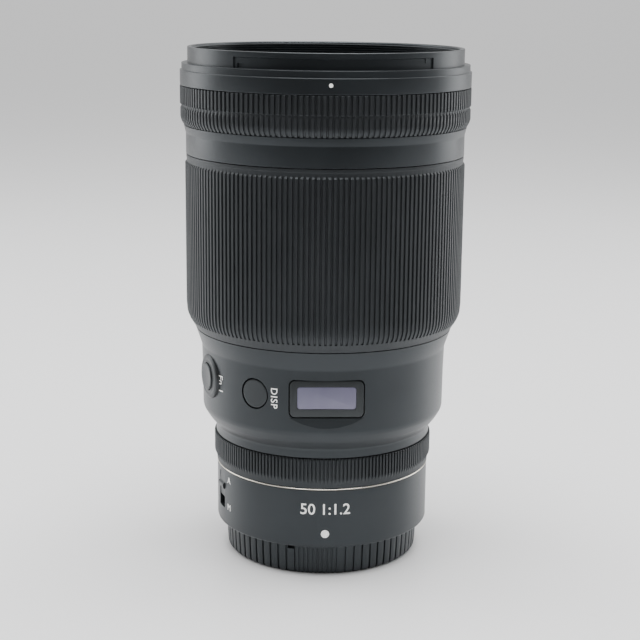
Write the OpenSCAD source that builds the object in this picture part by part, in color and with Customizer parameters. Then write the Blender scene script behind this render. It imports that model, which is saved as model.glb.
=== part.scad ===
// Prime camera lens standing on its rear cap.
// Millimetres. Origin: centre of the cap's standing face. +Z: optical axis, towards the front.
// The marked side (display, buttons, index dots) faces -Y.

/* [Overall] */
// Height of the front rim above the standing face
front_z = 159.7; // [159.2:0.1:161]
// Height of the mount flange above the standing face
flange_z = 9.7; // [9.6:0.05:9.75]
// Radius of the ribbed grip ring, the widest part
grip_r = 44.75; // [44.6:0.05:45.2]
// Radius of the focus ring over its ribs
focus_r = 43.35; // [43.2:0.05:43.8]
// Radius of the middle barrel that carries the display
mid_r = 38.4; // [38.3:0.05:38.6]
// Radius of the control ring over its ribs
control_r = 34.75; // [34.4:0.05:34.8]
// Radius of the rear barrel
rear_r = 33.85; // [33.7:0.05:33.9]

/* [Front] */
// Radius of the filter thread's bore
filter_r = 41.0; // [40.9:0.05:41.1]
// Depth of the filter thread
filter_depth = 5.0; // [4.5:0.1:5.2]
// Outside radius of the hood bayonet's rim
rim_r = 42.4; // [42.4:0.05:42.8]

/* [Ribs] */
// Number of ribs on the focus ring
focus_ribs = 170; // [120:1:200]
// Number of ribs on the fixed grip ring
grip_ribs = 168; // [120:1:200]
// Number of ribs on the control ring
control_ribs = 185; // [120:1:200]
// Number of grooves that would go round the rear cap at its wide spacing
cap_grooves = 68; // [60:1:72]

/* [Buttons and display] */
// Width of the display's frame
display_w = 22.0; // [21.5:0.1:22.4]
// Height of the display's frame
display_h = 11.3; // [11.1:0.1:11.5]
// Diameter of the display-mode button
disp_d = 8.8; // [8.4:0.1:9.2]
// Diameter of the function button's bezel
fn_bezel_d = 13.8; // [13.4:0.1:14.2]
// Diameter of the function button
fn_d = 8.3; // [8.0:0.1:8.6]
// How far each button travels inwards
button_travel = 0.6; // [0.4:0.1:0.6]

/* [Rear] */
// Radius of the mount's throat that the lens lugs pass through
throat_r = 27.5; // [27.5:0.05:27.55]
// Number of bayonet lugs
lug_count = 4; // [4]

/* [Aperture] */
// Number of aperture blades
blade_count = 9; // [9]
// Furthest that a blade turns, in degrees
blade_swing = 38.9; // [30:0.1:38.9]

/* [Hidden] */
$fn = 128;

BLACK = [0.16, 0.17, 0.17];
DARK = [0.11, 0.115, 0.12];
SOOT = [0.06, 0.06, 0.065];
METAL = [0.75, 0.75, 0.74];
GOLD = [0.85, 0.68, 0.35];
GLASS = [0.55, 0.68, 0.72, 0.5];

// Heights where the outer pieces meet, from the front down
ledge_top_z = 154.9;
band_top_z = 152.9;
front_ring_z0 = 148.3;
grip_z0 = 136.2;
grip_seam = [141.6, 142.7];
barrel_z0 = 127.5;
focus_z1 = 127.3;
focus_z0 = 73.15;
mid_z1 = 72.95;
mid_z0 = 38.85;
control_z1 = 38.6;
control_z0 = 29.2;
trim_z1 = 29.0;
trim_z0 = 28.4;
rear_z0 = 9.95;

// Load-bearing inner tube
core_r = 38.6;
core_bore_r = 37.0;
land_r = 39.1;
ring_clear = 0.2;
tail_r = 31.8;
tail_bore_r = 30.6;
tail_land_r = 32.5;

// Rib depths
rib_depth = 0.45;
fine_rib_depth = 0.4;

// Display and buttons: azimuth 0 is the marked side, positive towards +X
display_z = 58.25;
display_face = 37.0;
window_w = 17.6;
window_h = 6.8;
window_dz = 0.2;
disp_az = -34.2;
disp_z = 58.5;
fn_az = -67.9;
fn_z = 59.3;
switch_az = -71.3;
slot_z = [15.6, 27.0];
slot_w = 5.0;
knob_len = 8.2;
knob_travel = slot_z[1] - slot_z[0] - knob_len;

// Mount and cap
lug_r = throat_r + 1.3;
lug_z = [4.2, 5.9];
lug_deg = 44;
cap_lug_r = throat_r + 0.05;
cap_lug_z = [6.1, 7.7];
cap_lug_deg = 38;
cap_top_z = 9.45;
cap_r = [30.5, 31.0];
cap_bore_r = 29.0;
screw_pitch_r = 29.0;
cap_pitch = 360 / (cap_grooves + 0.5);
cap_fine_az = -17;
cap_fine_count = 10;

// Aperture unit
iris_z = 91.0;
pivot_r = 26.0;
band_r = [19.3, 24.6];
pin_arm = 3.0;
pin_arm_deg = 70;
pin_r = 0.5;
blade_t = 0.12;
blade_pitch_z = 0.2;
rotor_z = [95.0, 96.2];
rotor_ratio = 0.72;

// Focus units
rod_r = 1.25;
rod_pitch_r = 26.5;
motor_pitch_r = 26.3;
screw_r = 0.9;

// Elements from the front: [radius, front vertex z, front R, rear vertex z, rear R].
// A positive R bulges outwards and a negative R is hollow.
E1 = [31, 148.5, 95, 145.0, -60];
E2 = [30, 143.2, 70, 132.2, 150];
E3 = [29, 131.2, 75, 123.2, -300];
E4 = [26.5, 122.2, 48, 111.7, 200];
E5 = [24.5, 111.68, -200, 109.2, -42];
E6 = [20.5, 99.9, -120, 98.0, 80];
E7 = [19.5, 79.5, -38, 77.0, -60];
E8 = [19.5, 76.98, 60, 67.5, 50];
E9 = [20.5, 66.6, 80, 61.1, 150];
E10 = [20.5, 59.9, -150, 57.9, 300];
E11 = [20.5, 53.0, 65, 47.0, 200];
E12 = [20.5, 44.8, -90, 43.0, -80];
E13 = [20.5, 41.8, 80, 36.8, 150];
E14 = [20.5, 33.4, 100, 29.4, 300];
E15 = [20.5, 27.4, -100, 25.8, -100];
E16 = [20.5, 24.6, 100, 20.2, 200];
E17 = [20, 17.6, -70, 15.6, -300];

// ---------- Shared shapes ----------

// Turned tube between two heights
module tube(r_out, r_in, z0, z1) {
  difference() {
    translate([0, 0, z0]) cylinder(r = r_out, h = z1 - z0);
    translate([0, 0, z0 - 1]) cylinder(r = r_in, h = z1 - z0 + 2);
  }
}

// Turned solid from an outline of [r, z] points
module turned(outline) {
  rotate_extrude() polygon(outline);
}

// Places children at an azimuth from the marked side, with their +Z pointing outwards
module facing_out(az, z) {
  rotate([0, 0, az]) translate([0, 0, z]) rotate([90, 0, 0]) children();
}

// Wedge of a circle from angle a0 to a1, measured from +X, as a flat shape
module wedge(r, a0, a1) {
  steps = 6;
  polygon(concat([[0, 0]],
    [for (i = [0:steps]) let (a = a0 + (a1 - a0) * i / steps) [r * cos(a), r * sin(a)]]));
}

// Curved block: part of a tube, spanning an angle centred on the marked side plus az
module arc_block(r_out, r_in, az, span, z0, z1) {
  a = az - 90;
  intersection() {
    tube(r_out, r_in, z0, z1);
    translate([0, 0, z0 - 0.5]) linear_extrude(z1 - z0 + 1)
      wedge(r_out + 8, a - span / 2, a + span / 2);
  }
}

// Band of upright ribs: flat tips with V grooves between them
module rib_band(count, r_tip, depth, z0, z1) {
  pitch = 360 / count;
  tip = 0.3 * pitch;
  translate([0, 0, z0]) linear_extrude(z1 - z0) difference() {
    polygon([for (i = [0:count - 1]) each [
      r_tip * [cos(i * pitch - tip), sin(i * pitch - tip)],
      r_tip * [cos(i * pitch + tip), sin(i * pitch + tip)],
      (r_tip - depth) * [cos((i + 0.5) * pitch), sin((i + 0.5) * pitch)]]]);
    circle(r_tip - depth - 0.5);
  }
}

// Flat plate with rounded corners, lying in XY
module rounded_plate(w, h, r, t) {
  linear_extrude(t) union() {
    square([w - 2 * r, h], center = true);
    square([w, h - 2 * r], center = true);
    for (x = [-1, 1], y = [-1, 1])
      translate([x * (w / 2 - r), y * (h / 2 - r)]) circle(r, $fn = 48);
  }
}

// ---------- Optical elements and their cells ----------

// Depth of a spherical surface below its vertex at distance q from the axis
function sag(R, q) = abs(R) - sqrt(R * R - q * q);
// Height of an element's front and rear surface at distance q from the axis
function front_at(e, q) = e[1] - sign(e[2]) * sag(e[2], q);
function rear_at(e, q) = e[3] + sign(e[4]) * sag(e[4], q);

// Narrow flat land ground at the edge of a hollow surface
BALL_FN = 400;
land_w = 0.3;
lip_w = 1.0;
seat_gap = 0.04;
function edge_top(e) = front_at(e, e[0] - (e[2] < 0 ? land_w : 0));
function edge_low(e) = rear_at(e, e[0] - (e[4] < 0 ? land_w : 0));
// Bore in front of element i of a cell, or behind the last one when i is the count
function bore_before(elements, i) = let (n = len(elements))
  (i == 0 ? elements[0][0] : i == n ? elements[n - 1][0]
    : min(elements[i - 1][0], elements[i][0])) - lip_w;
function pocket_top(e, bore) = max(edge_top(e), front_at(e, bore)) + seat_gap;
function pocket_low(e, bore) = min(edge_low(e), rear_at(e, bore)) - seat_gap;

module glass(e) {
  over = 3;
  top = e[2] < 0 ? edge_top(e) : e[1] + over;
  low = e[4] < 0 ? edge_low(e) : e[3] - over;
  difference() {
    intersection() {
      translate([0, 0, low]) cylinder(r = e[0], h = top - low);
      if (e[2] > 0) translate([0, 0, e[1] - e[2]]) sphere(r = e[2], $fn = BALL_FN);
      else translate([0, 0, low - 1]) cylinder(r = e[0] + 5, h = top - low + 2);
      if (e[4] > 0) translate([0, 0, e[3] + e[4]]) sphere(r = e[4], $fn = BALL_FN);
      else translate([0, 0, low - 1]) cylinder(r = e[0] + 4, h = top - low + 2);
    }
    if (e[2] < 0) translate([0, 0, e[1] - e[2]]) sphere(r = -e[2], $fn = BALL_FN);
    if (e[4] < 0) translate([0, 0, e[3] + e[4]]) sphere(r = -e[4], $fn = BALL_FN);
  }
}

// Everything that a cell leaves free for its elements and the light between them
module seats(elements, z0, z1) {
  n = len(elements);
  for (i = [0:n - 1]) let (e = elements[i]) {
    front_bore = bore_before(elements, i);
    rear_bore = bore_before(elements, i + 1);
    top = pocket_top(e, front_bore);
    low = pocket_low(e, rear_bore);
    translate([0, 0, low]) cylinder(r = e[0] + 0.03, h = top - low);
    above = i == 0 ? z1 + 1 : pocket_low(elements[i - 1], front_bore) + 0.01;
    if (above > top) translate([0, 0, top - 0.01]) cylinder(r = front_bore, h = above - top + 0.01);
    if (i == n - 1) translate([0, 0, z0 - 1]) cylinder(r = rear_bore, h = low - z0 + 1.01);
  }
}

// ---------- Outer barrel ----------

module front_ring() color(BLACK) {
  // Azimuth and span of each hood slot, and how far its stop stands from its middle
  slots = [[2.3, 87, 39.7], [122.3, 56, 24], [242.3, 56, 24]];
  slot_z1 = front_z - 1.6;
  seat_r = filter_r - 0.6;
  lead = 0.35;
  difference() {
    turned([
      [filter_r, front_z - lead], [filter_r + lead, front_z], [rim_r - lead, front_z],
      [rim_r, front_z - lead], [rim_r, ledge_top_z], [44.0, ledge_top_z],
      [44.2, ledge_top_z - 0.2], [44.2, band_top_z + 0.1], [grip_r - 0.25, band_top_z],
      [grip_r - 0.05, band_top_z - 0.2], [grip_r - 0.05, front_ring_z0 + 0.15],
      [grip_r - 0.2, front_ring_z0], [40.2, front_ring_z0], [40.2, 144.2],
      [core_r + 0.1, 144.2], [core_r + 0.1, 150.6], [seat_r, 150.6],
      [seat_r, front_z - filter_depth], [filter_r, front_z - filter_depth]]);
    // Three bayonet slots for the hood, each closed above by the rim
    for (s = slots)
      arc_block(rim_r + 1, rim_r - 0.6, s[0], s[1], ledge_top_z + 0.02, slot_z1);
  }
  // Stops inside the slots
  for (s = slots) arc_block(rim_r - 0.1, rim_r - 0.8, s[0] + s[2], 2.0, 156.2, slot_z1 + 0.2);
}

module name_ring() color(SOOT) {
  steps = 7;
  r0 = 32.6;
  z0 = 146.2;
  r1 = 40.1;
  z1 = 154.3;
  // Stepped cone, so that light striking it is not thrown into the lens
  turned(concat(
    [for (i = [0:steps - 1]) let (f0 = i / steps, f1 = (i + 1) / steps) each [
      [r0 + (r1 - r0) * f0, z0 + (z1 - z0) * f0],
      [r0 + (r1 - r0) * f0 + 0.25, z0 + (z1 - z0) * f1]]],
    [[r1, z1], [filter_r - 0.65, z1], [filter_r - 0.65, 150.8], [38.8, 150.8], [r0, z0 - 0.9]]));
}

module grip_ring() color(DARK) {
  body_r = grip_r - rib_depth - 0.05;
  difference() {
    union() {
      turned([[40.4, grip_z0], [grip_r - 1.1, grip_z0], [body_r, 137.5],
        [body_r, front_ring_z0 - 0.15], [40.4, front_ring_z0 - 0.15]]);
      rib_band(grip_ribs, grip_r - 0.08, rib_depth - 0.08, 137.6, grip_seam[0]);
      rib_band(grip_ribs, grip_r, rib_depth, grip_seam[1], front_ring_z0 - 0.3);
    }
    tube(grip_r + 1, body_r - 0.1, grip_seam[0] + 0.3, grip_seam[1] - 0.3);
  }
}

module front_barrel() color(BLACK) {
  turned([
    [39.3, barrel_z0], [focus_r - 0.45, barrel_z0], [focus_r - 0.3, barrel_z0 + 0.15],
    [focus_r - 0.3, 133.7], [grip_r - 1.1, grip_z0 - 0.1], [40.2, grip_z0 - 0.1], [40.2, 144.0],
    [core_r + 0.1, 144.0], [core_r + 0.1, 131.0], [39.3, 131.0]]);
}

module core_barrel() color(SOOT) {
  difference() {
    turned([
      [core_bore_r, 148.0], [core_r, 148.0], [core_r, 123.0], [land_r, 123.0], [land_r, 119.0],
      [core_r, 119.0], [core_r, 79.0], [land_r, 79.0], [land_r, 75.0], [core_r, 75.0],
      [core_r, mid_z1 + 0.05], [core_bore_r, mid_z1 + 0.05], [core_bore_r, 69.0], [tail_r, 69.0],
      [tail_r, 38.2], [tail_land_r, 38.2], [tail_land_r, 29.3], [tail_r, 29.3],
      [tail_r, 12.3], [24.8, 12.3], [24.8, 14.5],
      [tail_bore_r, 14.5], [tail_bore_r, 74.5], [core_bore_r, 74.5],
      [core_bore_r, 88.6], [35.0, 88.6], [35.0, 90.9], [core_bore_r, 90.9],
      [core_bore_r, 135.8], [34.6, 135.8], [34.6, 138.8], [core_bore_r, 138.8]]);
    // Screw holes for the mount
    for (k = [0:3]) rotate([0, 0, 45 + 90 * k]) translate([screw_pitch_r, 0, 11])
      cylinder(r = 0.62, h = 5, $fn = 32);
    // Windows in the tail for the cables of the buttons, the display and the switch
    facing_out(disp_az, disp_z) translate([0, 0, 25]) cylinder(d = 2.4, h = 10, $fn = 32);
    facing_out(0, display_z) translate([0, 0, 25]) cylinder(d = 4, h = 10, $fn = 32);
    facing_out(fn_az, fn_z) translate([0, 0, 25]) cylinder(d = 2.4, h = 10, $fn = 32);
  }
}

module mid_barrel() color(BLACK) {
  face_w = 24;
  difference() {
    turned([
      [mid_r + 2.1, mid_z1], [mid_r + 0.2, 67.3], [mid_r - 0.1, 48.0], [mid_r - 0.4, 46.9],
      [mid_r - 1.8, 44.5], [34.4, 41.8], [34.2, 41.3], [34.2, mid_z0], [32.7, mid_z0],
      [32.7, 42.2], [36.2, 45.6], [36.6, 46.4], [36.6, 67.6], [37.2, 68.2], [37.2, mid_z1]]);
    // Opening for the display
    translate([0, -mid_r, display_z]) rotate([90, 0, 0]) translate([0, 0, -6])
      rounded_plate(display_w + 0.5, display_h + 0.5, 1.8, 10);
    // Sloping facet below the display
    translate([0, -display_face + 0.35, display_z - display_h / 2 - 0.2])
      rotate([-25, 0, 0]) translate([-face_w / 2, -8, -9]) cube([face_w, 8, 9]);
    // Round openings for the buttons
    facing_out(disp_az, disp_z) translate([0, 0, 30]) cylinder(d = disp_d + 0.4, h = 10);
    facing_out(fn_az, fn_z) translate([0, 0, 30]) cylinder(d = fn_bezel_d + 0.02, h = 10);
  }
}

module trim_ring() color(METAL) {
  r = rear_r + 0.1;
  turned([[32.7, trim_z0], [r - 0.1, trim_z0], [r, trim_z0 + 0.12], [r, trim_z1 - 0.12],
    [r - 0.1, trim_z1], [32.7, trim_z1]]);
}

module rear_barrel() color(BLACK) {
  round_r = 2.4;
  steps = 6;
  difference() {
    turned(concat(
      [[32.6, trim_z0 - 0.02], [rear_r, trim_z0 - 0.02]],
      [for (i = [0:steps]) let (a = 90 * i / steps * 0.86)
        [rear_r - round_r + round_r * cos(a), rear_z0 + round_r * 0.97 - round_r * sin(a)]],
      [[31.5, rear_z0], [31.5, 12.0], [32.6, 12.0]]));
    facing_out(switch_az, (slot_z[0] + slot_z[1]) / 2) translate([0, 0, 30])
      rounded_plate(slot_w, slot_z[1] - slot_z[0], 0.5, 6);
  }
}

// ---------- Turning rings ----------

module focus_ring() color(DARK) {
  body_r = focus_r - rib_depth - 0.05;
  bore_r = land_r + ring_clear;
  union() {
    turned([
      [bore_r, focus_z0], [40.4, focus_z0], [40.7, focus_z0 + 0.2], [41.3, 74.2],
      [focus_r - 0.95, 76.6], [body_r, 77.4], [body_r, 124.9], [focus_r - 0.35, 125.05],
      [focus_r - 0.35, focus_z1 - 0.15], [focus_r - 0.5, focus_z1], [bore_r, focus_z1]]);
    rib_band(focus_ribs, focus_r, rib_depth, 77.6, 124.7);
  }
}

module control_ring() color(DARK) {
  body_r = control_r - fine_rib_depth - 0.05;
  bore_r = tail_land_r + ring_clear;
  union() {
    turned([
      [bore_r, control_z0], [rear_r + 0.1, control_z0], [rear_r + 0.25, 30.9], [body_r, 31.6],
      [body_r, control_z1 - 0.1], [body_r - 0.1, control_z1], [bore_r, control_z1]]);
    rib_band(control_ribs, control_r, fine_rib_depth, 31.8, control_z1 - 0.2);
  }
}

// ---------- Display, buttons and switch ----------

module display_frame() color(DARK) {
  depth = 1.5;
  difference() {
    translate([0, -display_face + depth, display_z]) rotate([90, 0, 0])
      rounded_plate(display_w, display_h, 1.6, depth);
    translate([0, -display_face + depth + 1, display_z + window_dz]) rotate([90, 0, 0])
      rounded_plate(window_w, window_h, 0.5, depth + 2);
  }
}

module display_window() color([0.46, 0.44, 0.56, 0.8]) {
  translate([0, -display_face + 1.0, display_z + window_dz]) rotate([90, 0, 0])
    rounded_plate(window_w - 0.1, window_h - 0.1, 0.45, 0.8);
}

module display_panel() color([0.1, 0.12, 0.1]) {
  translate([0, -display_face + 2.6, display_z]) rotate([90, 0, 0])
    rounded_plate(20.4, 10.2, 0.4, 1.0);
}

// Round button with a retaining flange behind its skin
module round_button(d, face_r, flange_d, az, z) {
  intersection() {
    facing_out(az, z) union() {
      translate([0, 0, 35.2]) cylinder(d = d, h = 6);
      translate([0, 0, 35.2]) cylinder(d = flange_d, h = 0.7);
    }
    tube(face_r, 20, z - 12, z + 12);
  }
}

module disp_button() color(BLACK) round_button(disp_d, mid_r - 0.15, disp_d + 1.0, disp_az, disp_z);

module fn_bezel() color(DARK) {
  facing_out(fn_az, fn_z) difference() {
    union() {
      translate([0, 0, 36.1]) cylinder(d = fn_bezel_d - 0.04, h = mid_r + 0.35 - 36.1);
      translate([0, 0, mid_r + 0.35]) cylinder(d1 = fn_bezel_d - 0.04, d2 = fn_bezel_d - 1.4, h = 0.45);
    }
    translate([0, 0, 30]) cylinder(d = fn_d + 0.3, h = 12);
  }
}

module fn_button() color(BLACK) {
  facing_out(fn_az, fn_z) union() {
    translate([0, 0, 35.2]) cylinder(d = fn_d + 1.2, h = 0.7);
    translate([0, 0, 35.5]) cylinder(d = fn_d, h = mid_r + 1.15 - 35.5);
    translate([0, 0, mid_r + 1.15]) cylinder(d1 = fn_d, d2 = fn_d - 0.8, h = 0.25);
  }
}

module button_switches() color(METAL) {
  tip = 35.2 - button_travel - 0.05;
  for (p = [[disp_az, disp_z], [fn_az, fn_z]]) facing_out(p[0], p[1]) union() {
    translate([-2, -2, 32.1]) cube([4, 4, 1.6]);
    translate([0, 0, 33.5]) cylinder(d = 2, h = tip - 33.5, $fn = 32);
  }
}

module switch_plate() color(SOOT) {
  arc_block(32.35, 31.95, switch_az, 16, 13.2, 28.6);
}

module switch_knob() color(DARK) {
  z0 = slot_z[1] - knob_len;
  ridge = 0.7;
  facing_out(switch_az, z0 + knob_len / 2) difference() {
    translate([0, 0, 32.45]) rounded_plate(slot_w - 0.3, knob_len - 0.2, 0.4, 1.75);
    for (k = [-2:2]) translate([0, k * 1.4, 34.2]) rotate([45, 0, 0])
      cube([slot_w + 1, ridge, ridge], center = true);
  }
}

// ---------- Mount and rear cap ----------

module mount_flange() color(METAL) {
  difference() {
    union() {
      tube(tail_bore_r, 24.8, flange_z, 12.2);
      tube(throat_r - 0.2, 24.8, lug_z[0], 11);
      for (k = [0:lug_count - 1])
        arc_block(lug_r, 25.5, 90 * k, lug_deg, lug_z[0], lug_z[1]);
    }
    for (k = [0:3]) rotate([0, 0, 45 + 90 * k]) translate([screw_pitch_r, 0, 0]) {
      translate([0, 0, 5]) cylinder(r = 0.85, h = 10, $fn = 32);
      translate([0, 0, 5]) cylinder(r = 1.45, h = flange_z - 5 + 1.0, $fn = 32);
    }
    // Hole for the camera's locking pin
    rotate([0, 0, -67.5 + 180]) translate([screw_pitch_r, 0, 5]) cylinder(r = 1.1, h = 6.6, $fn = 32);
  }
}

module mount_screws() color(METAL) {
  for (k = [0:3]) rotate([0, 0, 45 + 90 * k]) translate([screw_pitch_r, 0, 0]) difference() {
    union() {
      translate([0, 0, flange_z + 0.08]) cylinder(r = 1.4, h = 0.9, $fn = 32);
      translate([0, 0, flange_z + 0.5]) cylinder(r = 0.6, h = 4.2, $fn = 32);
    }
    for (a = [0, 90]) rotate([0, 0, a]) translate([-0.8, -0.15, flange_z]) cube([1.6, 0.3, 0.5]);
  }
}

module mount_gasket() color(SOOT) tube(31.4, 30.75, 9.5, 12.0);

module contact_block() color(SOOT) arc_block(24.7, 21.6, 180, 96, 4.6, 8.2);

module contact_pins() color(GOLD) {
  pins = 11;
  for (i = [0:pins - 1]) rotate([0, 0, 90 + (i - (pins - 1) / 2) * 7.6])
    translate([23.1, 0, 4.1]) cylinder(r = 0.5, h = 0.48, $fn = 24);
}

module rear_baffle() color(SOOT) {
  turned([[20.5, 8.3], [24.6, 8.3], [24.6, 12.2], [23.6, 12.2], [23.6, 9.6], [20.5, 9.6]]);
}

// Cutter for one grip groove of the cap, open at the standing face
module cap_groove(az, w, d) {
  tilt = atan((cap_r[1] - cap_r[0]) / cap_top_z);
  rotate([0, 0, az]) translate([0, -cap_r[0], 0]) rotate([tilt, 0, 0])
    translate([-w / 2, -2, -1]) cube([w, 2 + d, 10]);
}

module rear_cap() color(BLACK) {
  foot = 1.0;
  difference() {
    union() {
      turned([
        [0, 0.3], [24.0, 0.3], [24.3, 0], [cap_r[0] - foot, 0], [cap_r[0], foot],
        [cap_r[1], cap_top_z - 0.3], [cap_r[1] - 0.2, cap_top_z], [cap_bore_r + 0.2, cap_top_z],
        [cap_bore_r, cap_top_z - 0.2], [cap_bore_r, 3.6], [28.0, 3.6], [28.0, 1.8], [0, 1.8]]);
      // Bayonet lugs that hold the lens
      for (k = [0:lug_count - 1])
        arc_block(cap_bore_r + 0.3, cap_lug_r, 90 * k, cap_lug_deg, cap_lug_z[0], cap_lug_z[1]);
    }
    // Grooves twice as close together across the marked side, then wide ones all the way round
    for (i = [0:cap_fine_count - 1]) cap_groove(cap_fine_az + i * cap_pitch / 2, 0.5, 0.4);
    for (i = [1:cap_grooves - 5]) cap_groove(cap_fine_az + (4.5 + i) * cap_pitch, 0.6, 0.55);
    // Index notch in the edge of one rib
    rotate([0, 0, cap_fine_az - cap_pitch / 2]) translate([-1.1, -cap_r[1] - 1, 8.05]) cube([2.2, 1.5, 2]);
  }
}

// ---------- Inside: cells, aperture and focus ----------

module front_cell() color(SOOT) {
  difference() {
    turned([[0, 97.7], [29.4, 97.7], [29.4, 119], [33.4, 122], [33.4, 138.9], [36.8, 138.9],
      [36.8, 141.2], [33.4, 141.2], [33.4, 145.1], [0, 145.1]]);
    seats([E1, E2, E3, E4, E5, E6], 97.7, 145.1);
  }
}

module rear_cell() color(SOOT) {
  difference() {
    turned([[0, 13.4], [22.1, 13.4], [22.1, 31.0], [30.5, 31.0], [30.5, 33.9], [0, 33.9]]);
    seats([E14, E15, E16, E17], 13.4, 33.9);
    for (a = [60, 240]) rotate([0, 0, a]) translate([rod_pitch_r, 0, 33]) cylinder(r = rod_r + 0.03, h = 3);
  }
}

// Moving cell with a guide eye, a fork on the other rod and an arm to the motor's screw
module moving_cell(elements, z0, z1, eye_az, arm_az, eye_z0, eye_z1) {
  arm_t = 3;
  difference() {
    union() {
      translate([0, 0, z0]) cylinder(r = 22, h = z1 - z0);
      rotate([0, 0, eye_az]) {
        translate([rod_pitch_r, 0, eye_z0]) cylinder(r = 2.4, h = eye_z1 - eye_z0, $fn = 64);
        translate([20.8, -1.5, eye_z0]) cube([rod_pitch_r - 20.8 - 1.6, 3, eye_z1 - eye_z0]);
      }
      rotate([0, 0, eye_az + 180]) translate([20.8, -2.6, eye_z0 + 1]) cube([8.0, 5.2, arm_t]);
      rotate([0, 0, arm_az]) translate([20.8, -2, eye_z0 + 1]) cube([7.6, 4, arm_t]);
    }
    seats(elements, z0, z1);
    rotate([0, 0, eye_az]) translate([rod_pitch_r, 0, eye_z0 - 1])
      cylinder(r = rod_r + 0.05, h = eye_z1 - eye_z0 + 2);
    rotate([0, 0, eye_az + 180]) translate([rod_pitch_r - 2, -rod_r - 0.05, eye_z0])
      cube([8, 2 * rod_r + 0.1, arm_t + 2]);
    rotate([0, 0, arm_az]) translate([motor_pitch_r, 0, eye_z0]) cylinder(r = screw_r + 0.2, h = arm_t + 2);
  }
}

module focus_cell_a() color(SOOT)
  moving_cell([E7, E8, E9, E10], 57.2, 86.0, 60, 150, 61, 75);

module focus_cell_b() color(SOOT)
  moving_cell([E11, E12, E13], 36.2, 53.6, 240, 330, 39, 51);

module guide_rods() color(METAL) {
  for (a = [60, 240]) rotate([0, 0, a]) translate([rod_pitch_r, 0, 33.4])
    cylinder(r = rod_r, h = 57.4);
}

module focus_motors() color(METAL) {
  for (m = [[150, 77, 58.5], [330, 56.5, 37.5]]) rotate([0, 0, m[0]])
    translate([motor_pitch_r, 0, 0]) union() {
      translate([0, 0, m[1]]) cylinder(r = 4.0, h = 12);
      translate([0, 0, m[2]]) cylinder(r = screw_r, h = m[1] - m[2] + 1);
    }
}

module main_board() color([0.1, 0.28, 0.16]) {
  union() {
    tube(30.2, 22.6, 22.0, 23.0);
    for (a = [20, 75, 130, 200, 260, 315]) rotate([0, 0, a]) translate([23.8, -2.2, 22.9])
      cube([4.4, 4.4, 1.1]);
  }
}

module iris_base() color(SOOT) {
  union() {
    turned([[19, iris_z], [36.9, iris_z], [36.9, iris_z + 1.6], [30.5, iris_z + 1.6], [30.5, 96.4],
      [29.3, 96.4], [29.3, iris_z + 1.6], [19, iris_z + 1.6]]);
    for (i = [0:blade_count - 1]) rotate([0, 0, 360 / blade_count * i])
      translate([pivot_r, 0, iris_z + 1]) cylinder(r = 0.8, h = 2.9, $fn = 32);
  }
}

// Where a blade's drive pin stands when the blade has turned by t degrees
function pin_at(t) = [pivot_r + pin_arm * cos(pin_arm_deg + t), pin_arm * sin(pin_arm_deg + t)];
// The same point seen from the rotor, which turns backwards as the blades close
function slot_point(t) = let (p = pin_at(t), a = atan2(p[1], p[0]) + rotor_ratio * t)
  norm(p) * [cos(a), sin(a)];

module iris_rotor() color(METAL) {
  steps = 10;
  w = pin_r + 0.08;
  difference() {
    tube(29.0, 23.4, rotor_z[0], rotor_z[1]);
    for (i = [0:blade_count - 1]) rotate([0, 0, 360 / blade_count * i])
      translate([0, 0, rotor_z[0] - 0.5]) linear_extrude(rotor_z[1] - rotor_z[0] + 1) {
        for (end = [-0.4, blade_swing + 0.4]) translate(slot_point(end)) circle(w, $fn = 32);
        polygon(concat(
          [for (k = [0:steps]) let (t = -0.4 + (blade_swing + 0.8) * k / steps, p = slot_point(t),
            u = p / norm(p)) p + w * u],
          [for (k = [steps:-1:0]) let (t = -0.4 + (blade_swing + 0.8) * k / steps, p = slot_point(t),
            u = p / norm(p)) p - w * u]));
      }
  }
}

module iris_cover() color(SOOT) tube(30.5, 22, 96.45, 97.3);

// Crescent blade on its pivot, with the drive pin that the rotor pushes
module iris_blade(i) color(DARK) {
  z = iris_z + 1.75 + blade_pitch_z * (i - 1);
  rotate([0, 0, 360 / blade_count * (i - 1)]) union() {
    translate([0, 0, z]) linear_extrude(blade_t) difference() {
      union() {
        intersection() {
          difference() {
            circle(band_r[1]);
            circle(band_r[0]);
          }
          wedge(40, 0, 90);
        }
        translate([pivot_r, 0]) circle(1.9, $fn = 48);
        translate([pivot_r, 0]) rotate(pin_arm_deg) translate([0, -0.8]) square([pin_arm, 1.6]);
        translate(pin_at(0)) circle(0.8, $fn = 32);
      }
      translate([pivot_r, 0]) circle(0.85, $fn = 32);
    }
    translate([pin_at(0)[0], pin_at(0)[1], z + 0.02]) cylinder(r = pin_r, h = 96.0 - z, $fn = 32);
  }
}

// ---------- Draw ----------

front_ring();
name_ring();
grip_ring();
front_barrel();
core_barrel();
mid_barrel();
trim_ring();
rear_barrel();
focus_ring();
control_ring();
display_frame();
display_window();
display_panel();
disp_button();
fn_bezel();
fn_button();
button_switches();
switch_plate();
switch_knob();
mount_flange();
mount_screws();
mount_gasket();
contact_block();
contact_pins();
rear_baffle();
rear_cap();
front_cell();
rear_cell();
iris_base();
iris_rotor();
iris_cover();
iris_blade(1);  // iris_blade_1
iris_blade(2);  // iris_blade_2
iris_blade(3);  // iris_blade_3
iris_blade(4);  // iris_blade_4
iris_blade(5);  // iris_blade_5
iris_blade(6);  // iris_blade_6
iris_blade(7);  // iris_blade_7
iris_blade(8);  // iris_blade_8
iris_blade(9);  // iris_blade_9
focus_cell_a();
focus_cell_b();
guide_rods();
focus_motors();
main_board();
color(GLASS) glass(E1);  // element_1
color(GLASS) glass(E2);  // element_2
color(GLASS) glass(E3);  // element_3
color(GLASS) { glass(E4); glass(E5); }  // doublet_4_5
color(GLASS) glass(E6);  // element_6
color(GLASS) { glass(E7); glass(E8); }  // doublet_7_8
color(GLASS) glass(E9);  // element_9
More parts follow.
